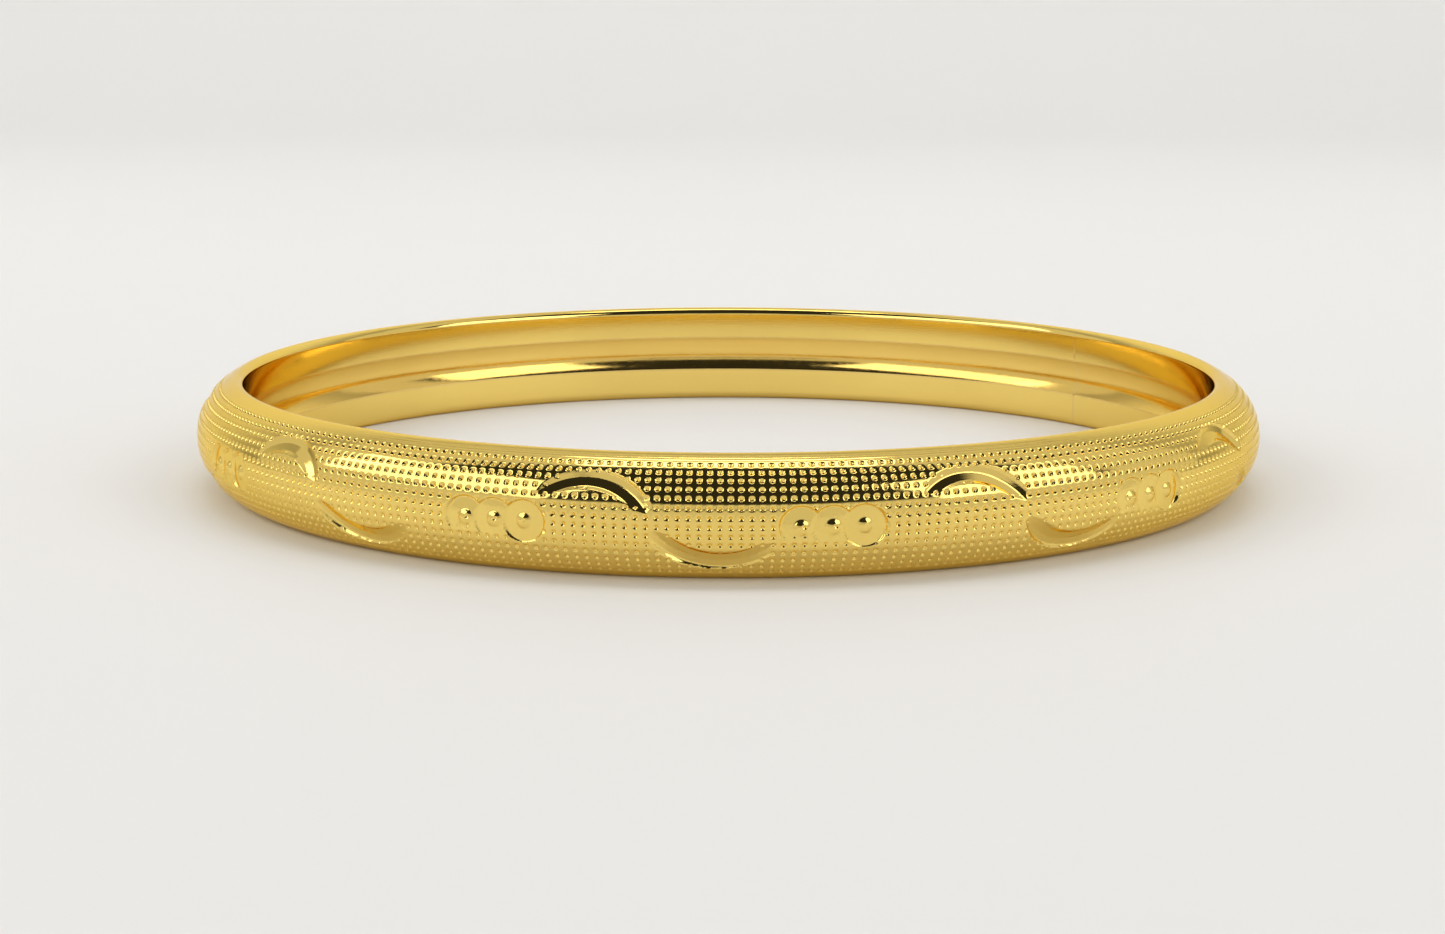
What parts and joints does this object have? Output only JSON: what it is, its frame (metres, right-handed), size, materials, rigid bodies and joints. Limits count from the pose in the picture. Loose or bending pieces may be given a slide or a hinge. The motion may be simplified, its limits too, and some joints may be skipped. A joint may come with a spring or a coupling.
{
  "type": "bangle bracelet",
  "caption": "Hollow half-round gold-coloured bangle: domed shell with a repeating cut pattern of crescents and eyelets on a fine dimpled ground, plain dished inner wall.",
  "frame": {"origin": "middle of the ring's foot, on the surface that it rests on", "axes": "+Z along the ring's axis, up from the foot; -Y is the front, +X is to the right seen from the front"},
  "size_m": [0.0662, 0.0662, 0.0067],
  "materials": {
    "shell_gold": "gold plated, bright polished, diamond cut pattern",
    "liner_gold": "gold plated, bright polished, fine wear scratches",
    "solder_gold": "gold solder, polished flush",
    "tongue_brass": "plain sheet, unpolished, hidden in the hollow"
  },
  "bodies": {
    "root": {"outer_shell": "shell_gold", "inner_liner": "liner_gold", "top_seam": "solder_gold", "foot_seam": "solder_gold", "closing_joint": "solder_gold", "joint_tongue": "tongue_brass"}
  },
  "joints": []
}
